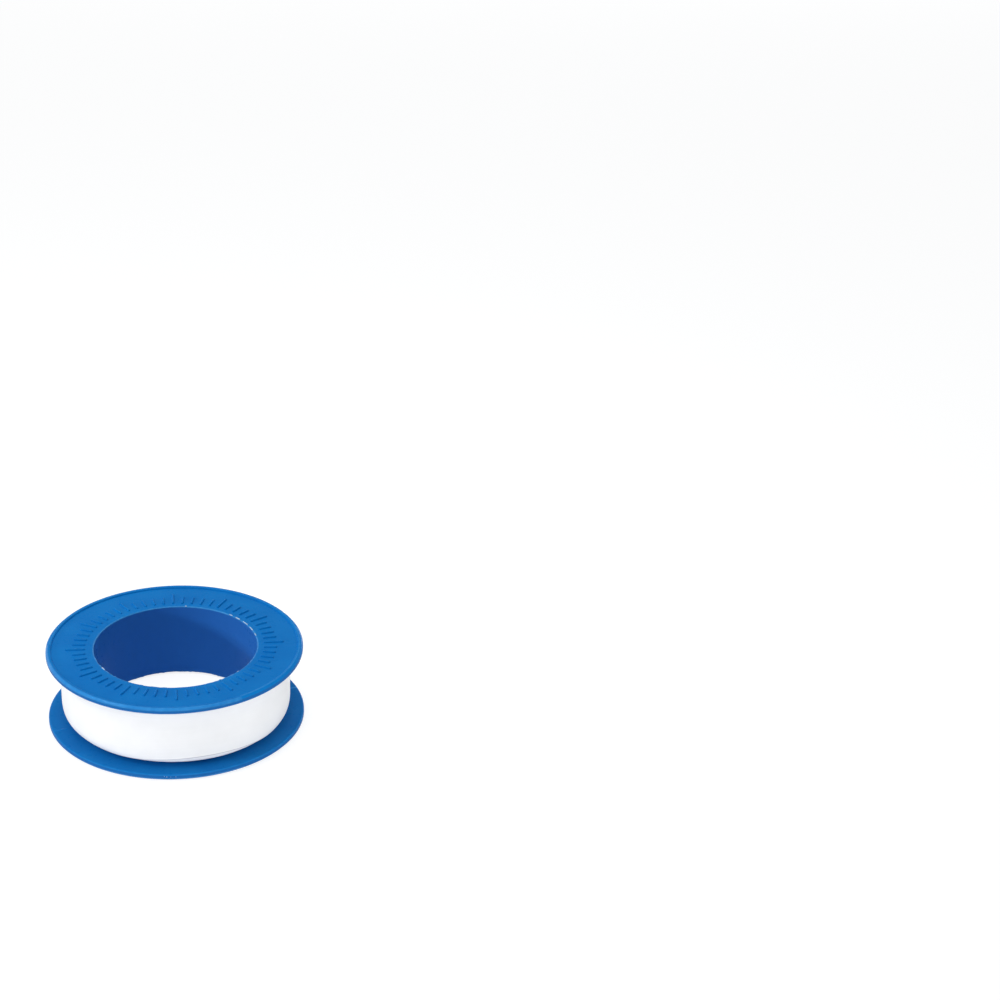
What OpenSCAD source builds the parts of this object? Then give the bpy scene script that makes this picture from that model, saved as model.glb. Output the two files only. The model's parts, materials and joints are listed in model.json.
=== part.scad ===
// Roll of thread seal tape on an open flanged spool.
// Millimetres, +Z up. The spool lies flat: its axis is Z, and the origin is the
// centre of the lower flange's rim, on the surface that the roll lies on.

/* [Spool] */
// Diameter of the open bore through the spool
bore_d = 31.6; // [20:0.2:40]
// Wall of the core tube between the flanges
core_wall = 1.1; // [0.8:0.1:2]
// Reach of both flanges past the wound tape
flange_reach = 2.6; // [1.5:0.1:5]
// Thickness of each flange plate
plate_t = 1.0; // [0.7:0.1:1.8]
// Width of the raised bead round each flange's outer face
bead_w = 1.1; // [0.9:0.1:2]
// Height of that bead above the flange's outer face
bead_h = 0.2; // [0.05:0.05:0.3]
// Radius of the rounded edges of each rim
rim_round = 0.35; // [0.1:0.05:0.4]

/* [Tape] */
// Width of the tape
tape_w = 12; // [8:0.5:19]
// Thickness of the tape
tape_t = 0.1; // [0.07:0.01:0.2]
// Depth of the wound tape on the core tube, at the middle of its width
wound_depth = 5.0; // [3.6:0.1:9]
// Drop of the wound radius from the middle of the tape to its edges
shoulder_drop = 1.9; // [0.2:0.1:2.6]
// Upward wander of the outer turn from the turns below it
turn_wander = 0.2; // [0:0.05:0.3]

/* [Loose end] */
// Length of the tape's loose end along the winding
end_l = 22; // [10:1:26]
// Length by which the end is cut on the slant
end_slant = 3; // [0:0.5:6]
// Angle round the roll where the loose end starts to lift
end_angle = 62; // [0:1:359]

/* [Clearances] */
// Gap between the tape's edges and each flange
side_gap = 0.5; // [0.35:0.05:1]
// Radial clearance of the winding on the core tube
core_fit = 0.05; // [0.02:0.01:0.1]
// Gap between the outer turn and the turns below it
seat_gap = 0.06; // [0.04:0.01:0.1]
// Gap along the fold line where the loose end lifts
fold_gap = 0.3; // [0.2:0.05:0.5]
// Bare stretch of the turns below, between the loose end and the outer turn's start
bare_l = 2; // [1:0.5:4]

/* [Hidden] */

spool_color = [0.12, 0.42, 0.74];
tape_color = [0.96, 0.96, 0.97];
round_fn = 96;
// Overrun of a cut past the faces that it goes through
cut_over = 1;

bore_r = bore_d / 2;
core_r = bore_r + core_wall;
wound_r = core_r + wound_depth;
flange_r = wound_r + flange_reach;
flange_t = plate_t + bead_h;
inner_w = tape_w + 2 * side_gap;
spool_h = inner_w + 2 * flange_t;

inner_turns_r = wound_r - tape_t - seat_gap;
tape_mid_z = spool_h / 2;
// Power of the curve from the flat middle of the winding to its soft shoulders
shoulder_power = 4;
profile_steps = 16;
angle_step = 4;
quarter_turn = 90;

// Angles along the outer turn, counted round the roll from where it starts
deg_per_mm = 180 / (PI * wound_r);
end_deg = end_l * deg_per_mm;
slant_deg = end_slant * deg_per_mm;
fold_deg = fold_gap * deg_per_mm;
bare_deg = bare_l * deg_per_mm;
turn_deg = 360 - end_deg - fold_deg - bare_deg;
turn_start_angle = end_angle - fold_deg - turn_deg;

// Shares of the tape's half width, from its lower edge to its upper edge, closer at the shoulders
SHARES = [for (k = [0 : profile_steps]) sin(quarter_turn * (2 * k / profile_steps - 1))];

// Radius of the surface of the inner turns at a share of the half width
function inner_turns_at(share) = inner_turns_r - shoulder_drop * pow(abs(share), shoulder_power);

// Height of the outer turn at a share of its half width
function turn_z(share) = tape_mid_z + turn_wander + share * tape_w / 2;

// Radius of the outer turn's inner face, which grows by one thickness in a turn
function turn_r(share, deg) =
    inner_turns_at(share + 2 * turn_wander / tape_w) + seat_gap + tape_t * deg / 360;

// Point of the outer turn at a share, an angle along it and a height above its inner face
function turn_point(share, deg, above) =
    let (r = turn_r(share, deg) + above, a = turn_start_angle + deg)
    [r * cos(a), r * sin(a), turn_z(share)];

// Stretch of the outer turn as a closed strip; its far end may be cut on the slant
module tape_strip(from_deg, to_deg, cut_deg) {
    rings = ceil((to_deg - from_deg) / angle_step);
    last = len(SHARES) - 1;
    ring_n = 2 * (last + 1);
    ends = [for (share = SHARES) to_deg - cut_deg * (1 + share) / 2];
    points = [
        for (i = [0 : rings])
            each concat(
                [for (k = [0 : last])
                    turn_point(SHARES[k], from_deg + (ends[k] - from_deg) * i / rings, tape_t)],
                [for (k = [last : -1 : 0])
                    turn_point(SHARES[k], from_deg + (ends[k] - from_deg) * i / rings, 0)]
            )
    ];
    sides = [
        for (i = [0 : rings - 1], k = [0 : ring_n - 1])
            let (a = i * ring_n + k, b = i * ring_n + (k + 1) % ring_n)
            each [[a, b, b + ring_n], [a, b + ring_n, a + ring_n]]
    ];
    near_cap = [
        for (k = [0 : last - 1])
            let (o = k, i = ring_n - 1 - k)
            each [[o, i, i - 1], [o, i - 1, o + 1]]
    ];
    far = rings * ring_n;
    far_cap = [for (f = near_cap) [far + f[0], far + f[2], far + f[1]]];
    polyhedron(points = points, faces = concat(sides, near_cap, far_cap), convexity = 6);
}

// Half section of a flange, from the bore to the rounded rim with its bead
module flange_section() {
    plate_w = flange_r - bore_r - rim_round;
    low_z = rim_round;
    high_z = flange_t - rim_round;
    translate([bore_r, bead_h]) square([plate_w, plate_t]);
    translate([flange_r - bead_w, low_z]) square([bead_w, high_z - low_z]);
    translate([flange_r - bead_w + rim_round, 0]) square([bead_w - 2 * rim_round, flange_t]);
    for (r = [flange_r - bead_w + rim_round, flange_r - rim_round], z = [low_z, high_z])
        translate([r, z]) circle(r = rim_round, $fn = round_fn);
}

module flange() {
    rotate_extrude($fn = round_fn) flange_section();
}

module core_tube() {
    color(spool_color)
        translate([0, 0, flange_t])
            difference() {
                cylinder(h = inner_w, r = core_r, $fn = round_fn);
                translate([0, 0, -cut_over])
                    cylinder(h = inner_w + 2 * cut_over, r = bore_r, $fn = round_fn);
            }
}

module lower_flange() {
    color(spool_color) flange();
}

module upper_flange() {
    color(spool_color)
        translate([0, 0, spool_h]) mirror([0, 0, 1]) flange();
}

// Plain core of the winding, with soft shoulders at the tape's edges
module tape_inner_turns() {
    fit_r = core_r + core_fit;
    outline = [for (share = SHARES) [inner_turns_at(share), tape_mid_z + share * tape_w / 2]];
    color(tape_color)
        rotate_extrude($fn = round_fn)
            polygon(concat(
                [[fit_r, tape_mid_z - tape_w / 2]],
                outline,
                [[fit_r, tape_mid_z + tape_w / 2]]
            ));
}

// The one turn of the winding that shows, up to the fold line of its loose end
module tape_outer_turn() {
    color(tape_color) tape_strip(0, turn_deg, 0);
}

// The loose end of the same turn, which lifts about its fold line
module tape_end() {
    color(tape_color) tape_strip(turn_deg + fold_deg, turn_deg + fold_deg + end_deg, slant_deg);
}

// Least gap of the outer turn to itself, measured between points a quarter turn or more apart
TURN_POINTS = [
    for (deg = [0 : angle_step / 2 : turn_deg + fold_deg + end_deg], share = [-1, 0, 1])
        concat(turn_point(share, deg, tape_t / 2), [deg])
];
turn_self_gap = min([
    for (p = TURN_POINTS, q = TURN_POINTS)
        if (q[3] - p[3] >= quarter_turn) norm([q[0] - p[0], q[1] - p[1], q[2] - p[2]]) - tape_t
]);
echo(outer_turn_least_gap_to_itself_mm = turn_self_gap);
echo(fold_line_mm = turn_point(0, turn_deg + fold_deg, tape_t));

core_tube();
lower_flange();
upper_flange();
tape_inner_turns();
tape_outer_turn();
tape_end();
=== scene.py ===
"""Looks of a thread seal tape roll: a moulded spool, the tape wound on it and the tape's loose end."""

import json
import logging
import math
from dataclasses import dataclass, field
from enum import Enum

import bmesh
import bpy
import numpy as np
from mathutils import Matrix, Vector


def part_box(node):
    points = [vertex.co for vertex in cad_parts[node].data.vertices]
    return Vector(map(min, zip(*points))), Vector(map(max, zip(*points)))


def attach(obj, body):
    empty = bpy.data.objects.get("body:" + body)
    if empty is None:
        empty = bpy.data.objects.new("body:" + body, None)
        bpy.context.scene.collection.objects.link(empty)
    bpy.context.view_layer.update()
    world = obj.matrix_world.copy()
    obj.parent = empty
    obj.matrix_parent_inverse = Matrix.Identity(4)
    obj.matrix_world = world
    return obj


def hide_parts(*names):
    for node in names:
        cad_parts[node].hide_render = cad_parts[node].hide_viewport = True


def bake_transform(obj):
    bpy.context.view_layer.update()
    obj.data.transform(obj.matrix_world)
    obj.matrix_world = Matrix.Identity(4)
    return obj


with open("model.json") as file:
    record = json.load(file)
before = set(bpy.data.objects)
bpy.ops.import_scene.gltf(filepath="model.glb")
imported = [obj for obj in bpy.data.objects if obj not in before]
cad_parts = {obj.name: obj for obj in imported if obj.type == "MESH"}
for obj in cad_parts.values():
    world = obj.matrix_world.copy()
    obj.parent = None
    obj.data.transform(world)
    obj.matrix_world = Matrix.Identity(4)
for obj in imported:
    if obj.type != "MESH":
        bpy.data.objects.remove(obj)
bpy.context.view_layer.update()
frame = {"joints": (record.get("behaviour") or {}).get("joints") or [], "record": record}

LOG = logging.getLogger("tape_roll")
MM = 0.001
FULL_TURN = 360.0
HALF_TURN = 180.0
QUARTER_TURN = 90.0
SHARP_DEG = 50.0
WEAR_AND_SHADE = "wear"
STRIP_MAP = "strip_map"
NOISE_SPAN = (0.3, 0.7)
FULL_SPAN = (0.0, 1.0)
WHITE = (1.0, 1.0, 1.0, 1.0)

Colour = tuple[float, float, float, float]
Stretch = tuple[float, float, float]
Pair = tuple[float, float]
Socket = bpy.types.NodeSocket


class Side(Enum):
    """End of the spool that a flange closes."""

    LOWER = "lower"
    UPPER = "upper"


class Body(Enum):
    """Moving body of the frame that a piece rides on."""

    SPOOL = "spool"
    WINDING = "winding"
    LOOSE_END = "tape_end"


class Slot(Enum):
    """Material slot of the record that a piece takes its finish from."""

    SPOOL_PLASTIC = "spool_plastic"
    TAPE_FILM = "tape_film"


FLANGE_SEED = {Side.LOWER: 23, Side.UPPER: 11}
BURR_SEED = {Side.LOWER: 6, Side.UPPER: 5}
SPECK_SEED = 8


def peel_place() -> list[float]:
    """Place of the fold line that the loose end lifts about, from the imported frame."""
    return next(joint for joint in frame["joints"] if joint["name"] == "tape_peel")["pos_m"]


def ring_noise(count: int, cells: int, seed: int) -> np.ndarray:
    """Gives smooth random values round a closed ring.

    Args:
        count: Number of even steps round the ring.
        cells: Number of random knots that the values pass through.
        seed: Seed of the random knots.

    Returns:
        One value from -1 to 1 for each step.
    """
    knots = np.random.default_rng(seed).uniform(-1.0, 1.0, cells)
    place = np.arange(count) * cells / count
    low = place.astype(int)
    share = place - low
    ease = share * share * (3.0 - 2.0 * share)
    return knots[low % cells] * (1.0 - ease) + knots[(low + 1) % cells] * ease


def smooth_step(values: np.ndarray, start: float, end: float) -> np.ndarray:
    """Rises smoothly from 0 at start to 1 at end.

    Args:
        values: Places to find the rise at.
        start: Place where the rise begins.
        end: Place where the rise is over.

    Returns:
        The rise at each place.
    """
    share = np.clip((values - start) / (end - start), 0.0, 1.0)
    return share * share * (3.0 - 2.0 * share)


def grid_faces(rows: int, columns: int, close_rows: bool, close_columns: bool) -> np.ndarray:
    """Lists the quads between neighbouring points of a grid that is stored row by row.

    Args:
        rows: Number of rows of points.
        columns: Number of points in a row.
        close_rows: Whether the last row joins the first.
        close_columns: Whether the last point of a row joins its first.

    Returns:
        Four point numbers for each quad.
    """
    row = np.arange(rows if close_rows else rows - 1)[:, None]
    column = np.arange(columns if close_columns else columns - 1)[None, :]
    next_row = (row + 1) % rows
    next_column = (column + 1) % columns
    corners = [
        row * columns + column,
        row * columns + next_column,
        next_row * columns + next_column,
        next_row * columns + column,
    ]
    return np.stack([np.broadcast_to(c, (row.size, column.size)) for c in corners], -1).reshape(-1, 4)


def even_turn(count: int) -> np.ndarray:
    """Even angles round a full turn, in degrees, one in each row."""
    return np.arange(count)[:, None] * FULL_TURN / count


def round_axis(radius: np.ndarray, angle: np.ndarray, height: np.ndarray) -> np.ndarray:
    """Places points round the roll's axis.

    Args:
        radius: Distance from the axis of each point of a grid.
        angle: Angles of the points, of their rows or of their columns, in radians.
        height: Height of each point of the grid.

    Returns:
        The points, row by row.
    """
    return np.stack([radius * np.cos(angle), radius * np.sin(angle), height], -1).reshape(-1, 3)


def both_faces(outer: np.ndarray, inner: np.ndarray) -> np.ndarray:
    """Runs across the outer face of a strip and back across its inner face, in each row."""
    return np.concatenate([outer, inner[:, ::-1]], 1)


def between(marked: np.ndarray) -> np.ndarray:
    """Marks the faces of a closed section that lie between two marked points."""
    return marked & np.roll(marked, -1)


@dataclass
class Shape:
    """Points and faces of a mesh, with the marks on its points that a finish reads.

    Args:
        points: Place of each point, in metres.
        faces: Point numbers of each face.
        wear: Share of pale wear at each point, partly painted highlight on the bead, and on the tape the
            share of painted shade along its lower edge.
        uv: Place along and across the tape at each point, in metres.
        wrap: Length of the tape after which its first map coordinate starts again, or 0.
        polished: Whether each face takes the polished finish.
    """

    points: np.ndarray
    faces: list[list[int]]
    wear: np.ndarray | None = None
    uv: np.ndarray | None = None
    wrap: float = 0.0
    polished: np.ndarray | None = None

    @staticmethod
    def joined(shapes: list["Shape"]) -> "Shape":
        """Puts several shapes without a map into one.

        Args:
            shapes: The shapes to join.

        Returns:
            One shape with all their points and faces.
        """
        faces: list[list[int]] = []
        first = 0
        for shape in shapes:
            faces += [[first + corner for corner in face] for face in shape.faces]
            first += len(shape.points)
        wear = [np.zeros(len(s.points)) if s.wear is None else s.wear for s in shapes]
        return Shape(np.concatenate([s.points for s in shapes]), faces, np.concatenate(wear))

    def to_object(
        self, name: str, material: bpy.types.Material, polish: bpy.types.Material | None = None
    ) -> bpy.types.Object:
        """Makes the mesh object, with its faces turned outwards and smooth up to a sharp angle.

        Args:
            name: Name of the piece.
            material: Finish of the piece.
            polish: Finish of its polished faces, if it has any.

        Returns:
            The new object, linked to the scene.
        """
        mesh = bpy.data.meshes.new(name)
        mesh.from_pydata(self.points.tolist(), [], self.faces)
        turned = bmesh.new()
        turned.from_mesh(mesh)
        bmesh.ops.recalc_face_normals(turned, faces=turned.faces)
        turned.to_mesh(mesh)
        turned.free()
        mesh.shade_smooth()
        mesh.set_sharp_from_angle(angle=math.radians(SHARP_DEG))
        wear = np.zeros(len(self.points)) if self.wear is None else self.wear
        mesh.attributes.new(WEAR_AND_SHADE, "FLOAT", "POINT").data.foreach_set("value", wear.astype(np.float32))
        if self.uv is not None:
            self._write_map(mesh)
        mesh.materials.append(material)
        if polish is not None and self.polished is not None:
            mesh.materials.append(polish)
            mesh.polygons.foreach_set("material_index", self.polished.astype(np.int32))
        piece = bpy.data.objects.new(name, mesh)
        bpy.context.scene.collection.objects.link(piece)
        return piece

    def _write_map(self, mesh: bpy.types.Mesh) -> None:
        """Writes the strip map, carrying it past the place where a closed turn starts again.

        Args:
            mesh: Mesh that takes the map.
        """
        corner_point = np.zeros(len(mesh.loops), np.int32)
        mesh.loops.foreach_get("vertex_index", corner_point)
        first_corner = np.zeros(len(mesh.polygons), np.int32)
        mesh.polygons.foreach_get("loop_start", first_corner)
        corner_count = np.zeros(len(mesh.polygons), np.int32)
        mesh.polygons.foreach_get("loop_total", corner_count)
        place = self.uv[corner_point].astype(np.float32)
        if self.wrap:
            farthest = np.repeat(np.maximum.reduceat(place[:, 0], first_corner), corner_count)
            place[:, 0] += np.where(farthest - place[:, 0] > self.wrap / 2.0, self.wrap, 0.0)
        mesh.uv_layers.new(name=STRIP_MAP).uv.foreach_set("vector", place.ravel())


@dataclass
class Profile:
    """Half section of a turned shape, as points of radius and depth in order round the section.

    Args:
        points: Radius and depth of each point.
        wear: Share of pale wear at each point.
        flash: Direction, in radius and depth, in which thin flash stands out at each point.
    """

    points: list[Pair] = field(default_factory=list)
    wear: list[float] = field(default_factory=list)
    flash: list[Pair] = field(default_factory=list)

    def add(self, radius: float, depth: float, wear: float = 0.0, flash: Pair = (0.0, 0.0)) -> None:
        """Adds one point.

        Args:
            radius: Distance of the point from the axis.
            depth: Depth of the point.
            wear: Share of pale wear there.
            flash: Direction in which flash stands out there.
        """
        self.points.append((radius, depth))
        self.wear.append(wear)
        self.flash.append(flash)

    def line(self, end: Pair, steps: int) -> None:
        """Runs straight on to a point.

        Args:
            end: Radius and depth of the point.
            steps: Number of even steps to it.
        """
        start = self.points[-1]
        for step in range(1, steps + 1):
            share = step / steps
            self.add(start[0] + (end[0] - start[0]) * share, start[1] + (end[1] - start[1]) * share)

    def arc(
        self,
        centre: Pair,
        radii: Pair,
        angles: Pair,
        steps: int,
        wear: float = 0.0,
        flash_at: int | None = None,
    ) -> None:
        """Runs on round an arc of a circle or an ellipse that starts at the last point.

        Args:
            centre: Radius and depth of its centre.
            radii: Half axes of the arc, along radius and depth.
            angles: First and last angle, in degrees, from growing radius towards growing depth.
            steps: Number of even steps.
            wear: Most wear, halfway along the arc.
            flash_at: Step at which flash stands out, or None.
        """
        for step in range(1, steps + 1):
            share = step / steps
            angle = math.radians(angles[0] + (angles[1] - angles[0]) * share)
            out = (math.cos(angle), math.sin(angle))
            place = (centre[0] + radii[0] * out[0], centre[1] + radii[1] * out[1])
            self.add(*place, wear * math.sin(math.pi * share), out if step == flash_at else (0.0, 0.0))


class NodeTree:
    """Node tree of one material or world, with short calls that add nodes and join their sockets."""

    def __init__(self, material: bpy.types.Material | bpy.types.World) -> None:
        """Empties the tree of a material or a world.

        Args:
            material: Owner of the tree.
        """
        material.use_nodes = True
        self.tree = material.node_tree
        self.tree.nodes.clear()

    def add(
        self, kind: str, sockets: dict[str | int, object] | None = None, **settings: object
    ) -> bpy.types.Node:
        """Adds a node.

        Args:
            kind: Blender's name for the node, without its leading ShaderNode.
            sockets: Values, or output sockets to join, by input name or number.
            settings: Properties of the node itself.

        Returns:
            The new node.
        """
        node = self.tree.nodes.new("ShaderNode" + kind)
        for name, value in settings.items():
            setattr(node, name, value)
        for key, value in (sockets or {}).items():
            self._fill(node.inputs[key], value)
        return node

    def _fill(self, socket: Socket, value: object) -> None:
        """Joins an output socket to an input one, or sets the input to a value.

        Args:
            socket: Input socket.
            value: Output socket or plain value.
        """
        if isinstance(value, Socket):
            self.tree.links.new(value, socket)
        else:
            socket.default_value = value

    def place(self) -> Socket:
        """Reads the place on the piece, in metres."""
        return self.add("TexCoord").outputs["Object"]

    def wear(self) -> Socket:
        """Reads the share that the mesh carries at its points: pale wear, partly painted highlight on
        the bead, and painted shade on the tape's lower edge.
        """
        return self.add("Attribute", attribute_name=WEAR_AND_SHADE).outputs["Fac"]

    def stretch(self, place: Socket, factors: Stretch) -> Socket:
        """Multiplies coordinates by one factor for each axis."""
        return self.add("VectorMath", {0: place, 1: factors}, operation="MULTIPLY").outputs[0]

    def math(self, operation: str, *values: object) -> Socket:
        """Adds a math node on two or three values or sockets, and gives its result."""
        return self.add("Math", dict(enumerate(values)), operation=operation).outputs[0]

    def ramp(self, value: Socket, old: Pair, new: Pair = FULL_SPAN) -> Socket:
        """Maps a value from an old span to a new one.

        Args:
            value: Socket to map.
            old: First and last value of the old span.
            new: First and last value of the new span.

        Returns:
            The mapped socket, held within the new span.
        """
        spans = {"From Min": old[0], "From Max": old[1], "To Min": new[0], "To Max": new[1]}
        return self.add("MapRange", {"Value": value, **spans}).outputs[0]

    def noise(self, place: Socket, scale: float, detail: float = 2.0) -> Socket:
        """Adds a noise texture.

        Args:
            place: Socket with the coordinates.
            scale: Number of noise cells in a metre.
            detail: Number of finer layers of noise.

        Returns:
            The noise, mostly within NOISE_SPAN.
        """
        return self.add("TexNoise", {"Vector": place, "Scale": scale, "Detail": detail}).outputs[0]

    def mix(self, share: object, first: object, second: object) -> Socket:
        """Mixes two colours.

        Args:
            share: Share of the second colour, a value or a socket.
            first: First colour.
            second: Second colour.

        Returns:
            The mixed colour.
        """
        node = self.add("Mix", data_type="RGBA")
        for name, value in (("Factor_Float", share), ("A_Color", first), ("B_Color", second)):
            self._fill(next(s for s in node.inputs if s.identifier == name), value)
        return next(s for s in node.outputs if s.identifier == "Result_Color")

    def surface(self, shader: Socket) -> None:
        """Joins a shader to the surface of the material's output."""
        self.add("OutputMaterial", {"Surface": shader})

    def principled(self, sockets: dict[str | int, object]) -> None:
        """Adds the principled shader with these sockets as the surface."""
        self.surface(self.add("BsdfPrincipled", sockets).outputs[0])


@dataclass(frozen=True)
class Finish:
    """Finish that builds its own material.

    Args:
        name: Name of the material.
    """

    name: str

    def material(self) -> bpy.types.Material:
        """Builds the material.

        Returns:
            The new material.
        """
        material = bpy.data.materials.new(self.name)
        self.paint(NodeTree(material))
        return material

    def paint(self, nodes: NodeTree) -> None:
        """Adds the nodes of the finish to the empty tree of its material."""
        raise NotImplementedError


@dataclass(frozen=True)
class SpoolPlastic(Finish):
    """Blue moulded plastic with faint flow marks, turned tool lines, fine grain and pale worn edges,
    with a painted violet shade tint on the bore wall and painted shade on the rim's upright side; the
    pale on the bead is partly painted highlight.
    """

    name: str = "blue_moulded_plastic"
    shade: Colour = (0.004, 0.157, 0.495, 1.0)
    light: Colour = (0.006, 0.184, 0.535, 1.0)
    # deep: painted violet shade tint on the upright bore wall, standing in for the look of the shaded
    # bore.
    deep: Colour = (0.024, 0.154, 0.520, 1.0)
    bore_shade_tint_r: Pair = (16.9 * MM, 16.4 * MM)
    # dull: painted shade, a darker blue on the upright outer side of the rim.
    rim_side_shade: Colour = (0.014, 0.130, 0.400, 1.0)
    rim_side_shade_r: Pair = (24.3 * MM, 24.45 * MM)
    upright_span: Pair = (0.2, 0.7)
    pale: Colour = (0.055, 0.300, 0.660, 1.0)
    tint: Colour = WHITE
    roughness: float = 0.3
    rough_span: Pair = (-0.05, 0.07)
    gloss: float = 0.018
    flow_scale: float = 150.0
    grain_scale: float = 5200.0
    turned_scale: float = 5200.0
    turned_share: float = 0.5
    scuff_scale: float = 900.0
    scuff_span: Pair = (0.35, 0.6)
    least_wear: float = 0.6
    relief: float = 0.012 * MM
    bump: float = 0.2

    def paint(self, nodes: NodeTree) -> None:
        """Mixes the plastic's shades by place, wear and radius, with painted shade on the bore wall and
        on the rim's side, over a fine relief.

        Args:
            nodes: Empty tree of the material.
        """
        place = nodes.place()
        flat = nodes.stretch(place, (1.0, 1.0, 0.0))
        radius = nodes.add("VectorMath", {0: flat}, operation="LENGTH").outputs["Value"]
        flow = nodes.noise(place, self.flow_scale, detail=3.0)
        grain = nodes.noise(place, self.grain_scale)
        scuff = nodes.noise(place, self.scuff_scale, detail=4.0)
        turned = nodes.add(
            "TexNoise", {"W": radius, "Scale": self.turned_scale, "Detail": 1.0}, noise_dimensions="1D"
        ).outputs[0]
        patchy = nodes.ramp(scuff, self.scuff_span, (self.least_wear, 1.0))
        # Pale where the mesh marks wear; on the bead this is partly painted highlight.
        wear_and_sheen = nodes.math("MULTIPLY", nodes.wear(), patchy)
        base = nodes.mix(nodes.ramp(flow, NOISE_SPAN), self.shade, self.light)
        facing = nodes.add("NewGeometry").outputs["True Normal"]
        level = nodes.math("ABSOLUTE", nodes.add("SeparateXYZ", {0: facing}).outputs["Z"])
        upright = nodes.ramp(level, self.upright_span, (1.0, 0.0))
        # Painted shade: a violet tint on the upright bore wall, which lies in shade.
        in_bore_shade = nodes.math("MULTIPLY", upright, nodes.ramp(radius, self.bore_shade_tint_r))
        bore_shaded = nodes.mix(in_bore_shade, base, self.deep)
        # Painted shade: darker blue on the upright outer side of the rim.
        on_rim_side = nodes.math("MULTIPLY", upright, nodes.ramp(radius, self.rim_side_shade_r))
        rim_side_shaded = nodes.mix(on_rim_side, bore_shaded, self.rim_side_shade)
        rough = nodes.math("ADD", nodes.ramp(scuff, NOISE_SPAN, self.rough_span), self.roughness)
        height = nodes.math("MULTIPLY_ADD", turned, self.turned_share, grain)
        relief = {"Height": height, "Strength": self.bump, "Distance": self.relief}
        nodes.principled(
            {
                "Base Color": nodes.mix(wear_and_sheen, rim_side_shaded, self.pale),
                "Roughness": rough,
                "Normal": nodes.add("Bump", relief).outputs[0],
                "Specular IOR Level": self.gloss,
                "Specular Tint": self.tint,
            }
        )


@dataclass(frozen=True)
class MouldFlash(Finish):
    """Thin pale flash left on moulded edges, whiter where it is thinnest."""

    name: str = "pale_mould_flash"
    blue: Colour = (0.10, 0.36, 0.68, 1.0)
    white: Colour = (0.72, 0.84, 0.92, 1.0)
    roughness: float = 0.5
    gloss: float = 0.10
    patch_scale: float = 1800.0
    patch_span: Pair = (0.3, 0.6)
    least_white: float = 0.4

    def paint(self, nodes: NodeTree) -> None:
        """Mixes blue and white in patches.

        Args:
            nodes: Empty tree of the material.
        """
        patch = nodes.noise(nodes.place(), self.patch_scale, detail=3.0)
        patchy = nodes.ramp(patch, self.patch_span, (self.least_white, 1.0))
        colour = nodes.mix(nodes.math("MULTIPLY", nodes.wear(), patchy), self.blue, self.white)
        nodes.principled(
            {"Base Color": colour, "Roughness": self.roughness, "Specular IOR Level": self.gloss}
        )


@dataclass(frozen=True)
class TapeFilm(Finish):
    """White satin film with faint streaks along it, cloudy patches, creases and painted shade along the
    lower edge of the outer turn.
    """

    name: str = "white_tape_film"
    clear: Colour = (0.910, 0.910, 0.912, 1.0)
    cloudy: Colour = (0.940, 0.940, 0.942, 1.0)
    # edge: painted shade along the lower edge of the outer turn, where it steps onto the turns below.
    edge: Colour = (0.55, 0.55, 0.60, 1.0)
    roughness: float = 0.5
    rough_span: Pair = (-0.06, 0.06)
    gloss: float = 0.15
    cloud_scale: float = 260.0
    cloud_share: float = 0.75
    cloud_span: Pair = (0.35, 0.65)
    streak_stretch: Stretch = (40.0, 2600.0, 1.0)
    streak_share: float = 0.25
    streak_height: float = 0.08
    crease_stretch: Stretch = (520.0, 190.0, 1.0)
    relief: float = 0.03 * MM
    bump: float = 0.3

    def paint(self, nodes: NodeTree) -> None:
        """Mixes the film's two whites and the painted shade along the outer turn's lower edge, over
        streaks and creases.

        Args:
            nodes: Empty tree of the material.
        """
        place = nodes.add("UVMap", uv_map=STRIP_MAP).outputs[0]
        cloud = nodes.noise(place, self.cloud_scale, detail=3.0)
        streak = nodes.noise(nodes.stretch(place, self.streak_stretch), 1.0)
        crease = nodes.noise(nodes.stretch(place, self.crease_stretch), 1.0, detail=3.0)
        clouded = nodes.math("MULTIPLY", cloud, self.cloud_share)
        share = nodes.math("MULTIPLY_ADD", streak, self.streak_share, clouded)
        film = nodes.mix(nodes.ramp(share, self.cloud_span), self.clear, self.cloudy)
        rough = nodes.math("ADD", nodes.ramp(streak, NOISE_SPAN, self.rough_span), self.roughness)
        height = nodes.math("MULTIPLY_ADD", streak, self.streak_height, crease)
        relief = {"Height": height, "Strength": self.bump, "Distance": self.relief}
        nodes.principled(
            {
                "Base Color": nodes.mix(nodes.wear(), film, self.edge),
                "Roughness": rough,
                "Normal": nodes.add("Bump", relief).outputs[0],
                "Specular IOR Level": self.gloss,
            }
        )


@dataclass(frozen=True)
class StudioFloor(Finish):
    """Matt white floor that the camera and reflections see as white, with a faint shadow."""

    name: str = "white_studio_floor"
    colour: Colour = (0.82, 0.82, 0.82, 1.0)
    cloudy: Colour = (0.78, 0.78, 0.79, 1.0)
    cloud_scale: float = 9.0
    cloud_share: float = 0.04
    seen_diffuse: Colour = (0.30, 0.30, 0.30, 1.0)
    seen_glow: float = 0.83

    def paint(self, nodes: NodeTree) -> None:
        """Lights the floor as matt, and shows it as near white.

        Args:
            nodes: Empty tree of the material.
        """
        cloud = nodes.noise(nodes.place(), self.cloud_scale)
        lit = nodes.mix(nodes.ramp(cloud, NOISE_SPAN, (0.0, self.cloud_share)), self.colour, self.cloudy)
        matt = nodes.add("BsdfDiffuse", {"Color": lit}).outputs[0]
        seen = nodes.add("BsdfDiffuse", {"Color": self.seen_diffuse}).outputs[0]
        glow = nodes.add("Emission", {"Color": WHITE, "Strength": self.seen_glow}).outputs[0]
        white = nodes.add("AddShader", {0: seen, 1: glow}).outputs[0]
        nodes.surface(nodes.add("MixShader", {0: seen_ray(nodes), 1: matt, 2: white}).outputs[0])


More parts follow.
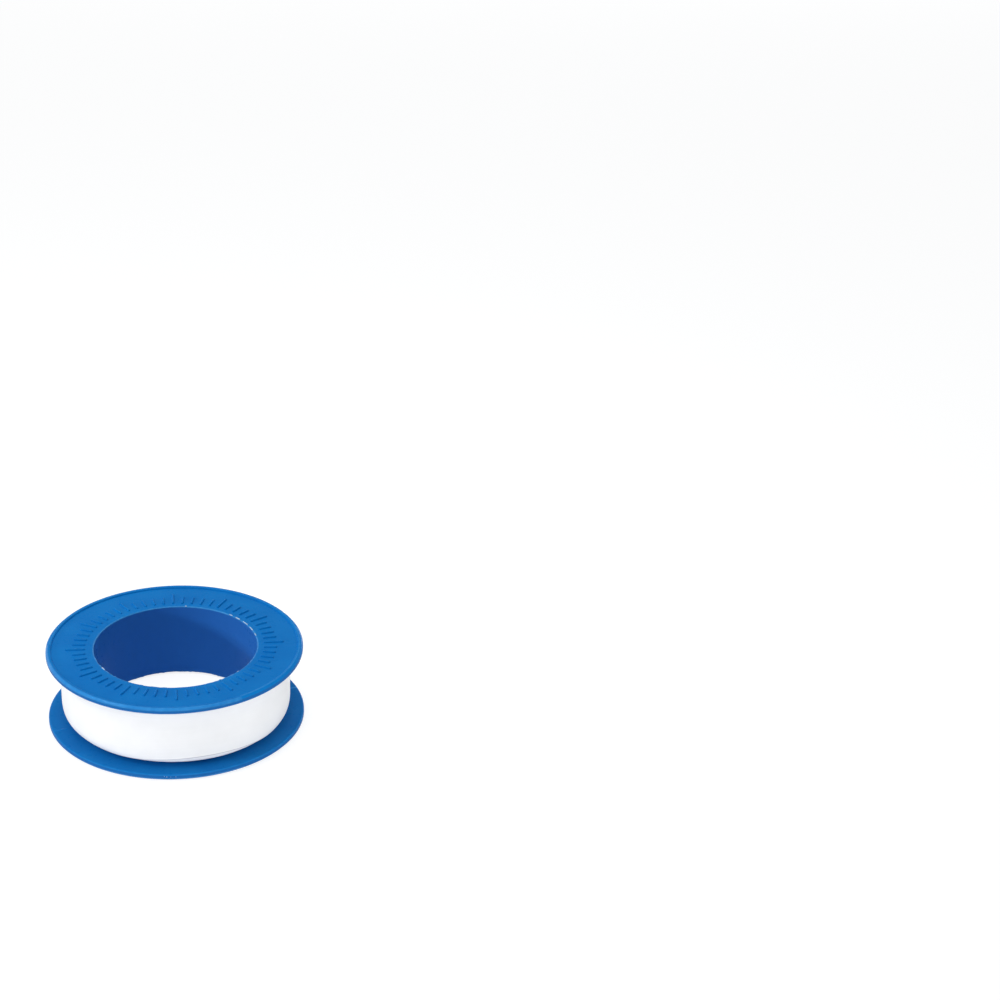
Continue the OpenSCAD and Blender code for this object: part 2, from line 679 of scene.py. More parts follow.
def seen_ray(nodes: NodeTree) -> Socket:
    """Tells whether a ray comes from the camera, a reflection or a clear piece.

    Args:
        nodes: Tree that takes the nodes.

    Returns:
        1 for such a ray and 0 for any other.
    """
    path = nodes.add("LightPath").outputs
    mirrored = nodes.math("MAXIMUM", path["Is Glossy Ray"], path["Is Transmission Ray"])
    return nodes.math("MAXIMUM", path["Is Camera Ray"], mirrored)


def dress(piece: bpy.types.Object, body: Body, slot: Slot, *nodes: str) -> None:
    """Lets a piece ride on its body and stand for CAD nodes.

    Args:
        piece: The piece.
        body: Body that it rides on.
        slot: Slot of the record that it takes its finish from.
        nodes: CAD nodes that it stands for.
    """
    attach(piece, body.value)
    label(piece, slot, *nodes)


def label(piece: bpy.types.Object, slot: Slot, *nodes: str) -> None:
    """Hides the CAD nodes that a piece stands for, and logs the piece with its face count and those
    nodes.

    Args:
        piece: The piece.
        slot: Slot of the record that it takes its finish from; not used.
        nodes: CAD nodes that it stands for.
    """
    if nodes:
        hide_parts(*nodes)
    LOG.info("%s: %d faces, stands for %s", piece.name, len(piece.data.polygons), nodes or "no node")


def rounded_bar(length: float, width: float, height: float) -> Shape:
    """Makes a low moulded bar with round ends and a domed top, lying along X with its foot at Z 0.

    Args:
        length: Length over the round ends.
        width: Width at the foot.
        height: Height of the dome.

    Returns:
        The closed bar.
    """
    end_steps = 8
    levels = 5
    dome_share = 0.9
    half = (length - width) / 2.0
    angles = np.linspace(-QUARTER_TURN, QUARTER_TURN, end_steps + 1)
    ring = np.radians(np.concatenate([angles, angles + HALF_TURN]))
    shift = np.concatenate([np.full(end_steps + 1, half), np.full(end_steps + 1, -half)])
    rings = []
    for level in range(levels + 1):
        lean = math.radians(QUARTER_TURN * level / levels) * dome_share
        radius = width / 2.0 * math.cos(lean)
        lift = np.full(ring.size, height * math.sin(lean))
        rings.append(np.stack([shift + radius * np.cos(ring), radius * np.sin(ring), lift], -1))
    points = np.concatenate(rings)
    columns = ring.size
    faces = grid_faces(levels + 1, columns, False, True).tolist()
    faces.append(list(range(columns)))
    faces.append(list(range(levels * columns, (levels + 1) * columns)))
    return Shape(points, faces)


@dataclass
class Spool:
    """Blue spool: a core tube with an open bore, and a beaded flange at each end.

    Args:
        bore_r: Radius of the open bore.
        core_r: Outer radius of the core tube.
        flange_r: Outer radius of the flanges.
        flange_t: Thickness of a flange with its bead.
        height: Height over both flanges.
    """

    bore_r: float
    core_r: float
    flange_r: float
    flange_t: float
    height: float
    bead_w: float = 1.05 * MM
    bead_h: float = 0.32 * MM
    bead_foot: float = 0.3 * MM
    bead_round: float = 0.18 * MM
    bead_slope: float = 0.25 * MM
    rubbed_highlight_deg: Pair = (175.0, 300.0)
    polish_tint: Colour = (0.5, 0.85, 1.0, 1.0)
    polish_roughness: float = 0.2
    polish_gloss: float = 0.14
    rim_round: float = 0.3 * MM
    rim_wear: float = 0.2
    # Pale on the bead's crest and slope: partly wear, partly painted highlight.
    crest_wear_and_sheen: float = 0.5
    wear_level: float = 0.8
    wear_change: float = 0.4
    wear_span: Pair = (0.4, 1.0)
    bore_edge: float = 0.25 * MM
    bore_draft: float = 0.2 * MM
    bore_shift: float = 0.2 * MM
    bore_oval: float = 0.15 * MM
    bore_blend: float = 2.5 * MM
    flash_h: float = 0.07 * MM
    flash_span: Pair = (-0.2, 1.2)
    tear_cells: int = 190
    patch_cells: int = 37
    patch_share: float = 0.6
    warp: float = 0.04 * MM
    warp_cells: int = 7
    segments: int = 720
    mark_count: int = 60
    mark_inner_r: float = 17.0 * MM
    mark_l: float = 2.6 * MM
    long_mark_l: float = 3.8 * MM
    mark_w: float = 0.5 * MM
    mark_h: float = 0.28 * MM
    marks_per_long: int = 5
    sunk: float = 0.02 * MM
    split_deg: Pair = (15.5, 195.5)
    split_wear: Pair = (1.0, 0.2)
    split_l: float = 2.6 * MM
    split_w: float = 0.24 * MM
    split_h: float = 0.11 * MM
    burr_deg: tuple[float, ...] = (12.0, 21.0, 30.0, 39.0, 46.0, 81.0, 210.0, 301.0, 317.0)
    burr_l: tuple[float, ...] = (0.9, 1.4, 1.6, 1.2, 0.8, 0.4, 1.1, 0.4, 0.4)
    burr_size: float = 0.16 * MM
    burr_spread: Pair = (0.8, 1.25)
    burr_rough: Pair = (0.85, 1.15)
    burr_rise: float = 0.7
    burr_wear: Pair = (0.75, 1.0)
    speck_deg: tuple[float, ...] = (263.5, 264.6, 266.3, 268.6)
    speck_size: float = 0.11 * MM
    speck_spread: Pair = (0.8, 1.3)
    speck_stretch: Pair = (1.3, 1.8)
    speck_rise: float = 0.5
    speck_wear: Pair = (0.6, 1.0)
    speck_depth: Pair = (0.6, 0.8)

    @classmethod
    def from_frame(cls) -> "Spool":
        """Reads the spool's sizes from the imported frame.

        Returns:
            The spool with those sizes.
        """
        bore = next(m for m in frame["record"]["mounts"] if m["name"] == "bore")
        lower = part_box("lower_flange")[1]
        return cls(
            bore_r=bore["dims"]["r_mm"] * MM,
            core_r=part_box("core_tube")[1].x,
            flange_r=lower.x,
            flange_t=lower.z,
            height=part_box("upper_flange")[1].z,
        )

    def flange_profile(self) -> Profile:
        """Draws the half section of a flange, with depth counted from its outer rim plane.

        Returns:
            The closed section, from the bore's wall over the outer face and the rim to the inner face.
        """
        section = Profile()
        face = self.bead_h
        low_rim = self.flange_t - self.rim_round
        section.add(self.bore_r, self.flange_t)
        section.line((self.bore_r, face + self.bore_edge), steps=6)
        edge = (self.bore_r + self.bore_edge, face + self.bore_edge)
        to_face = (HALF_TURN, HALF_TURN + QUARTER_TURN)
        section.arc(edge, (self.bore_edge, self.bore_edge), to_face, steps=6, wear=1.0, flash_at=3)
        section.line((self.flange_r - self.bead_w, face), steps=14)
        foot = (self.flange_r - self.bead_w + self.bead_foot, face)
        section.arc(foot, (self.bead_foot, face), to_face, steps=9)
        turn = (self.flange_r - self.bead_round - self.bead_slope, self.bead_round)
        section.line((turn[0], 0.0), steps=2)
        roll = (self.bead_round, self.bead_round)
        slope_deg = FULL_TURN - QUARTER_TURN / 2.0
        section.arc(turn, roll, (FULL_TURN - QUARTER_TURN, slope_deg), steps=5)
        turn = (turn[0] + self.bead_slope, turn[1] + self.bead_slope)
        reach = self.bead_round * math.cos(math.radians(QUARTER_TURN / 2.0))
        section.line((turn[0] + reach, turn[1] - reach), steps=2)
        section.arc(turn, roll, (slope_deg, FULL_TURN), steps=5)
        section.line((self.flange_r, low_rim), steps=3)
        low_edge = (self.flange_r - self.rim_round, low_rim)
        low_round = (self.rim_round, self.rim_round)
        section.arc(low_edge, low_round, (0.0, QUARTER_TURN), steps=9, wear=self.rim_wear)
        section.line((self.core_r, self.flange_t), steps=18)
        return section

    def bore_change(self, angle: np.ndarray, height: np.ndarray) -> np.ndarray:
        """Gives how far the moulded bore departs from a true cylinder.

        Args:
            angle: Angles round the spool, in radians.
            height: Heights in the spool.

        Returns:
            The change of radius, from its draft, its shift to one side and its oval form.
        """
        draft = self.bore_draft * (0.5 - height / self.height)
        return draft + self.bore_shift * np.cos(angle) - self.bore_oval * np.cos(2.0 * angle)

    def flange(self, side: Side) -> Shape:
        """Turns the flange section, with a faint warp, ragged flash and a rubbed stretch of the bead,
        whose pale crest and slope are partly wear and partly painted highlight.

        Args:
            side: End of the spool that the flange closes.

        Returns:
            The closed flange.
        """
        section = self.flange_profile()
        out, deep = np.array(section.points).T
        flash_out, flash_deep = np.array(section.flash).T
        seed = FLANGE_SEED[side]
        rows = self.segments
        degrees = even_turn(rows)
        around = np.radians(degrees)
        patches = self.patch_share * ring_noise(rows, self.patch_cells, seed + 1)
        torn = ring_noise(rows, self.tear_cells, seed) + patches
        ragged = np.clip(torn, *self.flash_span)[:, None]
        sway = (0.5 + 0.5 * ring_noise(rows, self.warp_cells, seed + 2))[:, None]
        reach = np.clip((out - self.core_r) / (self.flange_r - self.core_r), 0.0, 1.0)
        depth = deep + flash_deep * ragged * self.flash_h + reach**2 * sway * self.warp
        height = self.height - depth if side is Side.UPPER else depth
        blend_r = (self.bore_r + self.bore_edge, self.bore_r + self.bore_blend)
        near_bore = 1.0 - smooth_step(out, *blend_r)
        radius = out + flash_out * ragged * self.flash_h + near_bore * self.bore_change(around, height)
        at_edge = (out <= self.bore_r + self.bore_edge) & (deep <= self.bead_h + self.bore_edge)
        slope = self.bead_round + self.bead_slope
        at_bead = (out >= self.flange_r - slope) & (deep <= slope)
        past_foot = out >= self.flange_r - self.bead_w + self.bead_foot
        at_crest = past_foot & (deep <= 0.0) & ~at_bead
        rubbed_highlight = (degrees > self.rubbed_highlight_deg[0]) & (degrees < self.rubbed_highlight_deg[1])
        # Pale on the bead's crest, and on its slope in the rubbed stretch, is partly wear and partly
        # painted highlight.
        wear_and_sheen = np.maximum(section.wear, np.where(rubbed_highlight, at_bead, at_crest) * self.crest_wear_and_sheen)
        wear = wear_and_sheen * np.clip(self.wear_level + self.wear_change * ragged, *self.wear_span)
        polished = between(at_edge) | (between(at_bead) & rubbed_highlight)
        faces = grid_faces(rows, out.size, True, True).tolist()
        points = round_axis(radius, around, height)
        return Shape(points, faces, wear.ravel(), polished=polished.ravel())

    def core(self) -> Shape:
        """Turns the core tube between the flanges.

        Returns:
            The closed tube.
        """
        section = Profile()
        low = self.flange_t
        high = self.height - self.flange_t
        section.add(self.bore_r, low)
        section.line((self.bore_r, high), steps=20)
        section.line((self.core_r, high), steps=1)
        section.line((self.core_r, low), steps=2)
        out, level = np.array(section.points).T
        rows = self.segments
        around = np.radians(even_turn(rows))
        height = np.broadcast_to(level, (rows, out.size))
        radius = out + (out == self.bore_r) * self.bore_change(around, height)
        return Shape(round_axis(radius, around, height), grid_faces(rows, out.size, True, True).tolist())

    def marks(self, side: Side) -> Shape:
        """Sets a ring of plain raised graduation bars on a flange's outer face.

        Args:
            side: End of the spool that the flange closes.

        Returns:
            The bars, sunk a little into the face.
        """
        bars = []
        for number in range(self.mark_count):
            length = self.long_mark_l if number % self.marks_per_long == 0 else self.mark_l
            bar = rounded_bar(length, self.mark_w, self.mark_h)
            angle = FULL_TURN * number / self.mark_count
            middle = self.mark_inner_r + length / 2.0
            self._lay(bar, angle, middle, side, self.bead_h, True)
            bars.append(bar)
        return Shape.joined(bars)

    def split_lines(self) -> Shape:
        """Sets the thin raised split lines of the mould's slides on the flanges' inner faces.

        Returns:
            The lines on both flanges.
        """
        lines = []
        outer_end = self.flange_r - self.rim_round / 2.0
        for side in Side:
            for angle, wear in zip(self.split_deg, self.split_wear):
                line = rounded_bar(self.split_l, self.split_w, self.split_h)
                line.wear = np.full(len(line.points), wear)
                self._lay(line, angle, outer_end - self.split_l / 2.0, side, self.flange_t, False)
                lines.append(line)
        return Shape.joined(lines)

    def burrs(self, side: Side) -> Shape:
        """Sets small torn burrs of flash on the edge of the bore.

        Args:
            side: End of the spool whose bore edge takes them.

        Returns:
            The burrs.
        """
        random = np.random.default_rng(BURR_SEED[side])
        along_edge = np.array(Matrix.Rotation(math.radians(QUARTER_TURN), 3, "Z")).T
        burrs = []
        for angle, length in zip(self.burr_deg, self.burr_l):
            size = self.burr_size * random.uniform(*self.burr_spread)
            burr = rounded_bar(length * MM, size, size * self.burr_rise)
            burr.points = burr.points * random.uniform(*self.burr_rough, burr.points.shape)
            burr.points = burr.points @ along_edge
            burr.wear = np.full(len(burr.points), random.uniform(*self.burr_wear))
            turn = angle if side is Side.UPPER else -angle
            face_z = self.height - self.bead_h if side is Side.UPPER else self.bead_h
            edge_r = self.bore_r + self.bore_change(np.radians(turn), face_z) + self.bore_edge / 2.0
            self._lay(burr, turn, float(edge_r), side, self.bead_h, True)
            burrs.append(burr)
        return Shape.joined(burrs)

    def specks(self) -> Shape:
        """Sets small pale specks of flash along the side of the lower flange's rim.

        Returns:
            The specks.
        """
        random = np.random.default_rng(SPECK_SEED)
        specks = []
        for angle in self.speck_deg:
            size = self.speck_size * random.uniform(*self.speck_spread)
            speck = rounded_bar(size * random.uniform(*self.speck_stretch), size, size * self.speck_rise)
            speck.wear = np.full(len(speck.points), random.uniform(*self.speck_wear))
            depth = self.flange_t * random.uniform(*self.speck_depth)
            self._lay(speck, angle, self.flange_r, Side.LOWER, depth, False)
            specks.append(speck)
        return Shape.joined(specks)

    def _lay(
        self, bar: Shape, angle_deg: float, radius: float, side: Side, depth: float, outwards: bool
    ) -> None:
        """Lays a bar along a radius on one face of a flange, sunk a little so that no gap shows.

        Args:
            bar: Bar to lay, changed in place.
            angle_deg: Angle of the radius round the spool.
            radius: Radius of the bar's middle.
            side: End of the spool.
            depth: Depth of the face below the flange's outer rim plane.
            outwards: Whether the bar stands out from the outer face, rather than from the inner one.
        """
        rise = (bar.points[:, 2] - self.sunk) * (1.0 if outwards else -1.0)
        below = depth - rise
        angle = math.radians(angle_deg)
        along = bar.points[:, 0] + radius
        across = bar.points[:, 1]
        height = self.height - below if side is Side.UPPER else below
        bar.points = np.stack(
            [
                along * math.cos(angle) - across * math.sin(angle),
                along * math.sin(angle) + across * math.cos(angle),
                height,
            ],
            -1,
        )

    def build(self) -> None:
        """Makes the spool's pieces and lets them ride on the spool."""
        plastic = SpoolPlastic().material()
        polish = SpoolPlastic(
            "blue_polished_edges",
            tint=self.polish_tint,
            roughness=self.polish_roughness,
            gloss=self.polish_gloss,
        ).material()
        flash = MouldFlash().material()
        for side in Side:
            name = side.value
            flange = self.flange(side).to_object(f"{name}_flange_moulding", plastic, polish)
            dress(flange, Body.SPOOL, Slot.SPOOL_PLASTIC, f"{name}_flange")
            self._trim(self.marks(side), f"{name}_flange_marks", plastic)
            self._trim(self.burrs(side), f"{name}_bore_burrs", flash)
        core = self.core().to_object("core_tube_moulding", plastic)
        dress(core, Body.SPOOL, Slot.SPOOL_PLASTIC, "core_tube")
        self._trim(self.split_lines(), "slide_split_lines", plastic)
        self._trim(self.specks(), "lower_rim_specks", flash)

    @staticmethod
    def _trim(shape: Shape, name: str, finish: bpy.types.Material) -> None:
        """Makes a piece of trim that stands for no node and rides on the spool."""
        dress(shape.to_object(name, finish), Body.SPOOL, Slot.SPOOL_PLASTIC)


@dataclass
class TapePath:
    """Way that the outer turn of the tape lies on the turns below it.

    Args:
        core_r: Radius of the winding's own bore.
        wound_r: Radius of the turns below the outer one, at the middle of their width.
        low_z: Height of the turns' lower edge.
        high_z: Height of the turns' upper edge.
        root_deg: Angle round the roll where the loose end starts to lift.
    """

    core_r: float
    wound_r: float
    low_z: float
    high_z: float
    root_deg: float
    thickness: float = 0.1 * MM
    shoulder_drop: float = 1.9 * MM
    shoulder_power: float = 6.4
    front_power: float = 14.0
    sag: float = 0.05 * MM
    seat: float = 0.08 * MM
    wander: float = 0.25 * MM
    front_wander: float = 1.2 * MM
    front_top_wander: float = 0.15 * MM
    front_flare: float = 0.12 * MM
    flare_span: Pair = (0.9, 1.0)
    front_deg: float = 284.0
    front_spread_deg: float = 42.0
    end_l: float = 22.0 * MM
    end_slant: float = 3.0 * MM
    lift_from: float = 0.55
    lift_lean: float = 0.35
    step_shade_span: Pair = (0.965, 0.985)
    least_step_shade: float = 0.2
    unevenness: float = 0.02 * MM
    waves: Pair = (5.0, 2.0)
    wave_lean: Pair = (3.0, 1.0)
    share_steps: int = 48
    deg_step: float = 1.0

    @classmethod
    def from_frame(cls) -> "TapePath":
        """Reads the winding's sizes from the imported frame.

        Returns:
            The path with those sizes.
        """
        low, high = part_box("tape_inner_turns")
        fold_x, fold_y, _ = peel_place()
        clearance = 0.05 * MM
        return cls(
            core_r=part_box("core_tube")[1].x + clearance,
            wound_r=high.x,
            low_z=low.z,
            high_z=high.z,
            root_deg=math.degrees(math.atan2(fold_y, fold_x)),
        )

    @property
    def width(self) -> float:
        """Width of the tape."""
        return self.high_z - self.low_z

    @property
    def mid_z(self) -> float:
        """Height of the middle of the turns, which have settled a little towards the lower flange."""
        return (self.high_z + self.low_z) / 2.0 - self.sag

    @property
    def end_deg(self) -> float:
        """Angle round the roll that the loose end covers."""
        return math.degrees(self.end_l / self.wound_r)

    def shares(self) -> np.ndarray:
        """Shares of the half width from the lower edge to the upper one, closer at the shoulders."""
        return np.sin(np.linspace(-math.pi / 2.0, math.pi / 2.0, self.share_steps + 1))

    def wound_at(self, share: np.ndarray, angle_deg: np.ndarray) -> np.ndarray:
        """Works out the radius of the turns below, whose shoulders are squarer at the front.

        Args:
            share: Shares of their half width.
            angle_deg: Angles round the roll.

        Returns:
            The radius at each share and angle.
        """
        power = self.shoulder_power + self.front_power * self.near_front(angle_deg)
        return self.wound_r - self.shoulder_drop * np.minimum(np.abs(share), 1.0) ** power

    def near_front(self, angle_deg: np.ndarray) -> np.ndarray:
        """Tells how near angles round the roll are to the front, where the outer turn lies loosest."""
        away = (angle_deg - self.front_deg + HALF_TURN) % FULL_TURN - HALF_TURN
        return np.exp(-((away / self.front_spread_deg) ** 2))

    def rise_at(self, share: np.ndarray, angle_deg: np.ndarray) -> np.ndarray:
        """Works out how far the outer turn has wandered up, most at its lower edge at the front.

        Args:
            share: Shares of its half width.
            angle_deg: Angles round the roll.

        Returns:
            The rise at each angle and share.
        """
        narrowing = (self.front_top_wander - self.front_wander) * (1.0 + share) / 2.0
        return self.wander + (self.front_wander + narrowing) * self.near_front(angle_deg)

    def faces_at(
        self, share: np.ndarray, along: np.ndarray, angle_deg: np.ndarray, lift: float
    ) -> tuple[np.ndarray, np.ndarray]:
        """Works out the radii of the outer turn's two faces.

        Args:
            share: Shares of its half width.
            along: Degrees along the turn.
            angle_deg: Angles round the roll of the same places.
            lift: Height by which the tip of the loose end stands off the roll.

        Returns:
            The radii of its outer face and of its inner face.
        """
        below = self.wound_at(share + 2.0 * self.rise_at(share, angle_deg) / self.width, angle_deg)
        around = np.sin(np.radians(angle_deg * self.waves[0]) + self.wave_lean[0] * share)
        wave = around * np.sin(np.radians(angle_deg * self.waves[1]) - self.wave_lean[1] * share)
        spiral = below + self.seat + self.thickness * along / FULL_TURN
        lift_deg = FULL_TURN - self.end_deg + self.end_deg * self.lift_from
        lifted = smooth_step(along, lift_deg, FULL_TURN)
        tip = lift * lifted * (1.0 + self.lift_lean * share)
        flare = self.front_flare * self.near_front(angle_deg) * smooth_step(-share, *self.flare_span)
        outer = spiral + self.unevenness * wave * (1.0 - share**2) + tip + flare
        seated = np.maximum(outer - self.thickness, below + self.seat / 2.0)
        return outer, np.where(lifted > 0.0, outer - self.thickness, seated)

    def strip(self, from_deg: float, to_deg: float, slant: float = 0.0, lift: float = 0.0) -> Shape:
        """Makes a closed stretch of the outer turn.

        Args:
            from_deg: Where it starts, in degrees along the turn from the tip of the loose end below it.
            to_deg: Where it ends at the lower edge.
            slant: Length by which its end is cut back at the upper edge.
            lift: Height by which its tip stands off the roll.

        Returns:
            The stretch, mapped along and across the tape.
        """
        share = self.shares()[None, :]
        rows = math.ceil((to_deg - from_deg) / self.deg_step) + 1
        cut = math.degrees(slant / self.wound_r) * (1.0 + share) / 2.0
        part = np.linspace(0.0, 1.0, rows)[:, None]
        along = from_deg + (to_deg - cut - from_deg) * part
        angle = self.root_deg + self.end_deg + along
        radius = both_faces(*self.faces_at(share, along, angle, lift))
        height = self.mid_z + self.rise_at(share, angle) + share * self.width / 2.0
        points = round_axis(radius, np.radians(both_faces(angle, angle)), both_faces(height, height))
        length = np.radians(along) * self.wound_r
        across = np.broadcast_to(share * self.width / 2.0, along.shape)
        uv = np.stack([both_faces(length, length), both_faces(across, across)], -1).reshape(-1, 2)
        # Painted shade along the lower edge of the outer turn, strongest at the front where the turn
        # steps up off the turns below.
        step_shaded = self.least_step_shade + (1.0 - self.least_step_shade) * self.near_front(angle)
        edge = smooth_step(-share, *self.step_shade_span) * step_shaded
        columns = 2 * share.size
        faces = grid_faces(rows, columns, False, True).tolist()
        caps = self._cap(0, share.size) + self._cap((rows - 1) * columns, share.size)
        return Shape(points, faces + caps, both_faces(edge, edge).ravel(), uv)

    @staticmethod
    def _cap(first: int, count: int) -> list[list[int]]:
        """Lists the quads that close one end of a strip.

        Args:
            first: Number of the end's first point.
            count: Number of points across one face.

        Returns:
            The quads between the outer and the inner face.
        """
        last = first + 2 * count - 1
        return [[first + k, first + k + 1, last - k - 1, last - k] for k in range(count - 1)]


@dataclass
class Winding:
    """Wound tape on the core: the turns below and the outer turn up to the loose end's lead.

    Args:
        path: Way that the outer turn lies.
    """

    path: TapePath
    segments: int = 360
    side_steps: int = 30
    layer_ridge: float = 0.03 * MM
    lead_l: float = 8.0 * MM

    @property
    def seam_deg(self) -> float:
        """Angle along the outer turn where the loose end's own mesh takes over."""
        return FULL_TURN - self.path.end_deg - math.degrees(self.lead_l / self.path.wound_r)

    def inner_turns(self) -> Shape:
        """Turns the wound layers below the outer turn, with soft shoulders and layered sides.

        Returns:
            The closed ring, mapped along and across the tape.
        """
        path = self.path
        share = path.shares()
        low = path.mid_z - path.width / 2.0
        high = path.mid_z + path.width / 2.0
        crown_z = path.mid_z + share * path.width / 2.0
        edge_r = np.linspace(path.wound_r - path.shoulder_drop, path.core_r, self.side_steps + 1)[1:]
        ridge = self.layer_ridge * (np.arange(self.side_steps) % 2)
        height = np.concatenate([crown_z, high - ridge, low + ridge[::-1]])
        rows = self.segments
        columns = height.size
        angle = even_turn(rows)
        around = np.radians(angle)
        sides = np.tile(np.concatenate([edge_r, edge_r[::-1]]), (rows, 1))
        radius = np.concatenate([path.wound_at(share[None, :], angle), sides], 1)
        points = round_axis(radius, around, np.broadcast_to(height, radius.shape))
        lengths = np.broadcast_to(around * path.wound_r, (rows, columns))
        span = np.concatenate([[0.0], np.cumsum(np.hypot(np.diff(radius[0]), np.diff(height)))])
        across = np.broadcast_to(span - path.width / 2.0, (rows, columns))
        uv = np.stack([lengths, across], -1).reshape(-1, 2)
        faces = grid_faces(rows, columns, True, True).tolist()
        return Shape(points, faces, uv=uv, wrap=2.0 * math.pi * path.wound_r)

    def build(self, film: bpy.types.Material) -> None:
        """Makes the winding's pieces and lets them ride on the winding.

        Args:
            film: Finish of the tape.
        """
        inner = self.inner_turns().to_object("wound_inner_turns", film)
        dress(inner, Body.WINDING, Slot.TAPE_FILM, "tape_inner_turns")
        outer = self.path.strip(0.0, self.seam_deg).to_object("wound_outer_turn", film)
        dress(outer, Body.WINDING, Slot.TAPE_FILM, "tape_outer_turn")


@dataclass
class LooseEnd:
    """Loose end of the tape, which bends off the roll along its fold line.

    Args:
        path: Way that the outer turn lies.
        seam_deg: Angle along the turn where this mesh takes over from the winding.
    """

    path: TapePath
    seam_deg: float
    tip_lift: float = 0.35 * MM
    fold_before: float = 1.0 * MM
    fold_after: float = 6.0 * MM

    def build(self, film: bpy.types.Material) -> None:
        """Makes the loose end in place on the roll, and hides the tape_end node that it stands for.

        Args:
            film: Finish of the tape.
        """
        shape = self.path.strip(self.seam_deg, FULL_TURN, self.path.end_slant, self.tip_lift)
        piece = shape.to_object("tape_loose_end", film)
        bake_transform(piece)
        label(piece, Slot.TAPE_FILM, "tape_end")


@dataclass(frozen=True)
class SoftBox:
    """One soft lamp, placed by its direction from the roll.

    Args:
        name: Name of the lamp.
        azimuth_deg: Direction round the roll; 0 is the camera's side and 90 the right.
        elevation_deg: Height above the floor.
        distance: Distance from the roll.
        face: Width and height of the lamp's face.
        level: Light on a surface that faces the lamp, where 1 shows a colour as it is written.
    """

    name: str
    azimuth_deg: float
    elevation_deg: float
    distance: float
    face: Pair
    level: float

    @property
    def power(self) -> float:
        """Power in watts that gives the level at the lamp's distance."""
        return self.level * (math.pi * self.distance) ** 2

    def build(self, target: Vector) -> None:
        """Makes the lamp and points it at a target.

        Args:
            target: Point that the lamp faces.
        """
        lamp = bpy.data.lights.new(self.name, "AREA")
        lamp.shape = "RECTANGLE"
        lamp.size, lamp.size_y = self.face
        lamp.energy = self.power
        azimuth = math.radians(self.azimuth_deg)
        elevation = math.radians(self.elevation_deg)
        away = Vector(
            (
                math.sin(azimuth) * math.cos(elevation),
                -math.cos(azimuth) * math.cos(elevation),
                math.sin(elevation),
            )
        )
        holder = bpy.data.objects.new(self.name, lamp)
        holder.location = target + away * self.distance
        holder.rotation_euler = (-away).to_track_quat("-Z", "Y").to_euler()
        bpy.context.scene.collection.objects.link(holder)


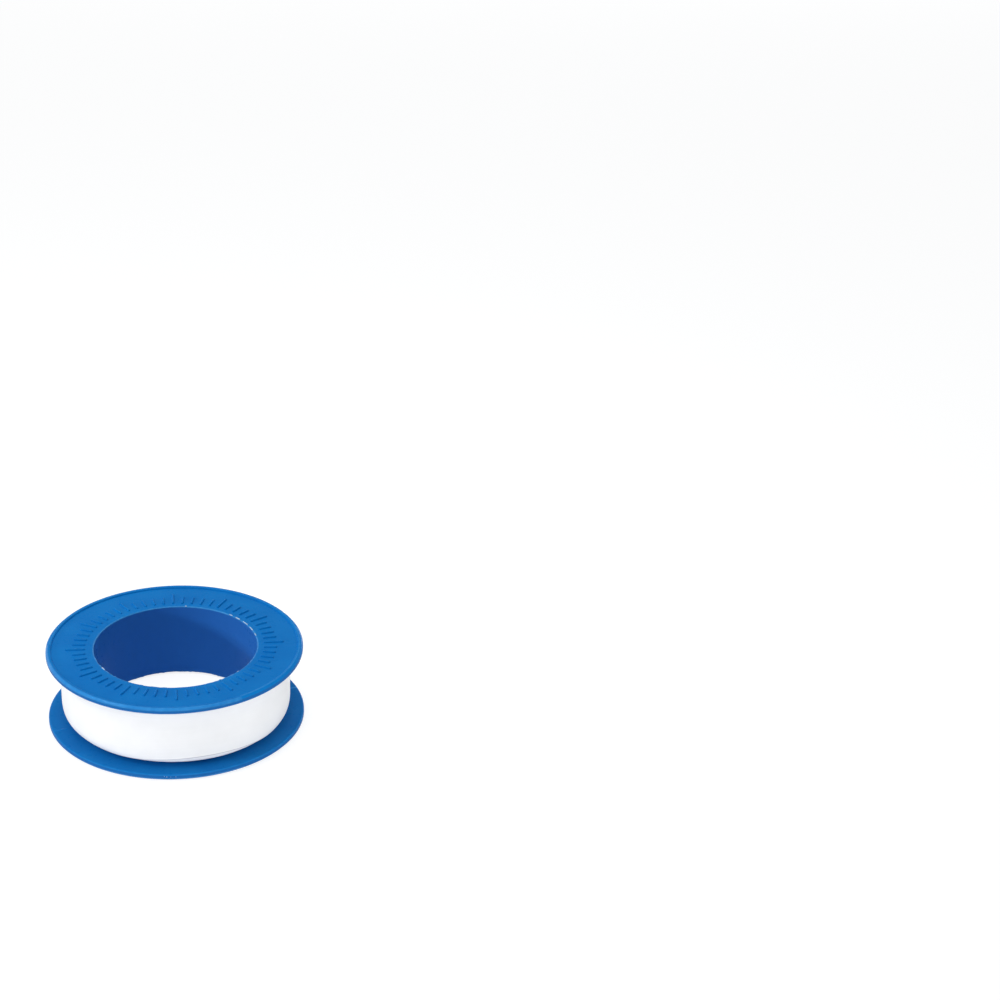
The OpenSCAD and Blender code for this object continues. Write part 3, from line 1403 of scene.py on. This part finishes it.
@dataclass
class Studio:
    """Plain white studio: floor, soft lamps, white surroundings and the photograph's camera.

    Args:
        height: Height of the roll.
    """

    height: float
    floor_size: float = 4.0
    floor_drop: float = 0.02 * MM
    fill: float = 0.38
    fill_colour: Colour = (0.93, 0.965, 1.0, 1.0)
    lamps: tuple[SoftBox, ...] = (
        SoftBox("overhead_softbox", -90.0, 88.0, 0.2, (0.16, 0.16), 0.52),
        SoftBox("left_key", -75.0, 12.0, 0.7, (0.07, 0.07), 0.30),
        SoftBox("left_softbox", -75.5, 46.5, 0.35, (0.14, 0.03), 0.13),
        SoftBox("front_strip", -3.0, 0.0, 0.6, (0.5, 0.012), 0.34),
        SoftBox("right_strip", 72.0, 0.0, 0.6, (0.4, 0.012), 0.26),
        SoftBox("back_strip", 170.0, 0.0, 0.6, (0.5, 0.012), 0.36),
    )
    camera_distance: float = 0.643306
    camera_elevation_deg: float = 30.14
    camera_yaw_deg: float = 6.375
    camera_pitch_deg: float = 26.511
    camera_roll_deg: float = -0.804
    camera_lens_mm: float = 119.13
    sensor_mm: float = 36.0
    camera_clip: Pair = (0.01, 10.0)

    def floor(self) -> None:
        """Lays the floor as a fine round dish of rings, with no seam or corner near the roll."""
        rings = 24
        columns = 64
        reach = (np.arange(rings + 1)[1:] / rings) ** 2 * self.floor_size / 2.0
        radius = np.tile(reach[:, None], (1, columns))
        around = np.radians(even_turn(columns)).T
        points = round_axis(radius, around, np.full(radius.shape, -self.floor_drop))
        faces = grid_faces(rings, columns, False, True).tolist()
        faces.append(list(range(columns)))
        floor = Shape(points, faces).to_object("studio_floor", StudioFloor().material())

    def surroundings(self) -> None:
        """Fills the room with soft light, and shows it as white to the camera and to reflections."""
        world = bpy.data.worlds.new("white_studio")
        bpy.context.scene.world = world
        nodes = NodeTree(world)
        light = nodes.add("Background", {"Color": self.fill_colour, "Strength": self.fill}).outputs[0]
        white = nodes.add("Background", {"Color": WHITE, "Strength": 1.0}).outputs[0]
        shown = nodes.add("MixShader", {0: seen_ray(nodes), 1: light, 2: white}).outputs[0]
        nodes.add("OutputWorld", {"Surface": shown})

    def camera(self) -> None:
        """Sets the camera at the photograph's viewing angle and framing."""
        elevation = math.radians(self.camera_elevation_deg)
        yaw = math.radians(self.camera_yaw_deg)
        pitch = math.radians(self.camera_pitch_deg)
        roll = math.radians(self.camera_roll_deg)
        flat = math.cos(pitch)
        ahead = Vector((math.sin(yaw) * flat, math.cos(yaw) * flat, -math.sin(pitch)))
        level = Vector((math.cos(yaw), -math.sin(yaw), 0.0))
        down = ahead.cross(level)
        right = level * math.cos(roll) + down * math.sin(roll)
        up = level * math.sin(roll) - down * math.cos(roll)
        eye = Vector((0.0, -math.cos(elevation), math.sin(elevation))) * self.camera_distance
        lens = bpy.data.cameras.new("photo_camera")
        lens.lens = self.camera_lens_mm
        lens.sensor_width = self.sensor_mm
        lens.clip_start, lens.clip_end = self.camera_clip
        camera = bpy.data.objects.new("photo_camera", lens)
        turned = Matrix((right, up, -ahead)).transposed()
        camera.matrix_world = Matrix.Translation(eye) @ turned.to_4x4()
        bpy.context.scene.collection.objects.link(camera)
        bpy.context.scene.camera = camera

    def build(self) -> None:
        """Makes the floor, the lamps, the surroundings and the camera."""
        self.floor()
        self.surroundings()
        self.camera()
        for lamp in self.lamps:
            lamp.build(Vector((0.0, 0.0, self.height / 2.0)))
            LOG.info("%s: %.3f W", lamp.name, lamp.power)
        bpy.context.scene.view_settings.view_transform = "Standard"


def main() -> None:
    """Builds the spool, the winding, the loose end and the studio, in that order."""
    logging.basicConfig(level=logging.INFO, format="%(message)s")
    spool = Spool.from_frame()
    spool.build()
    film = TapeFilm().material()
    path = TapePath.from_frame()
    winding = Winding(path)
    winding.build(film)
    LooseEnd(path, winding.seam_deg).build(film)
    Studio(spool.height).build()


if __name__ == "__main__":
    main()
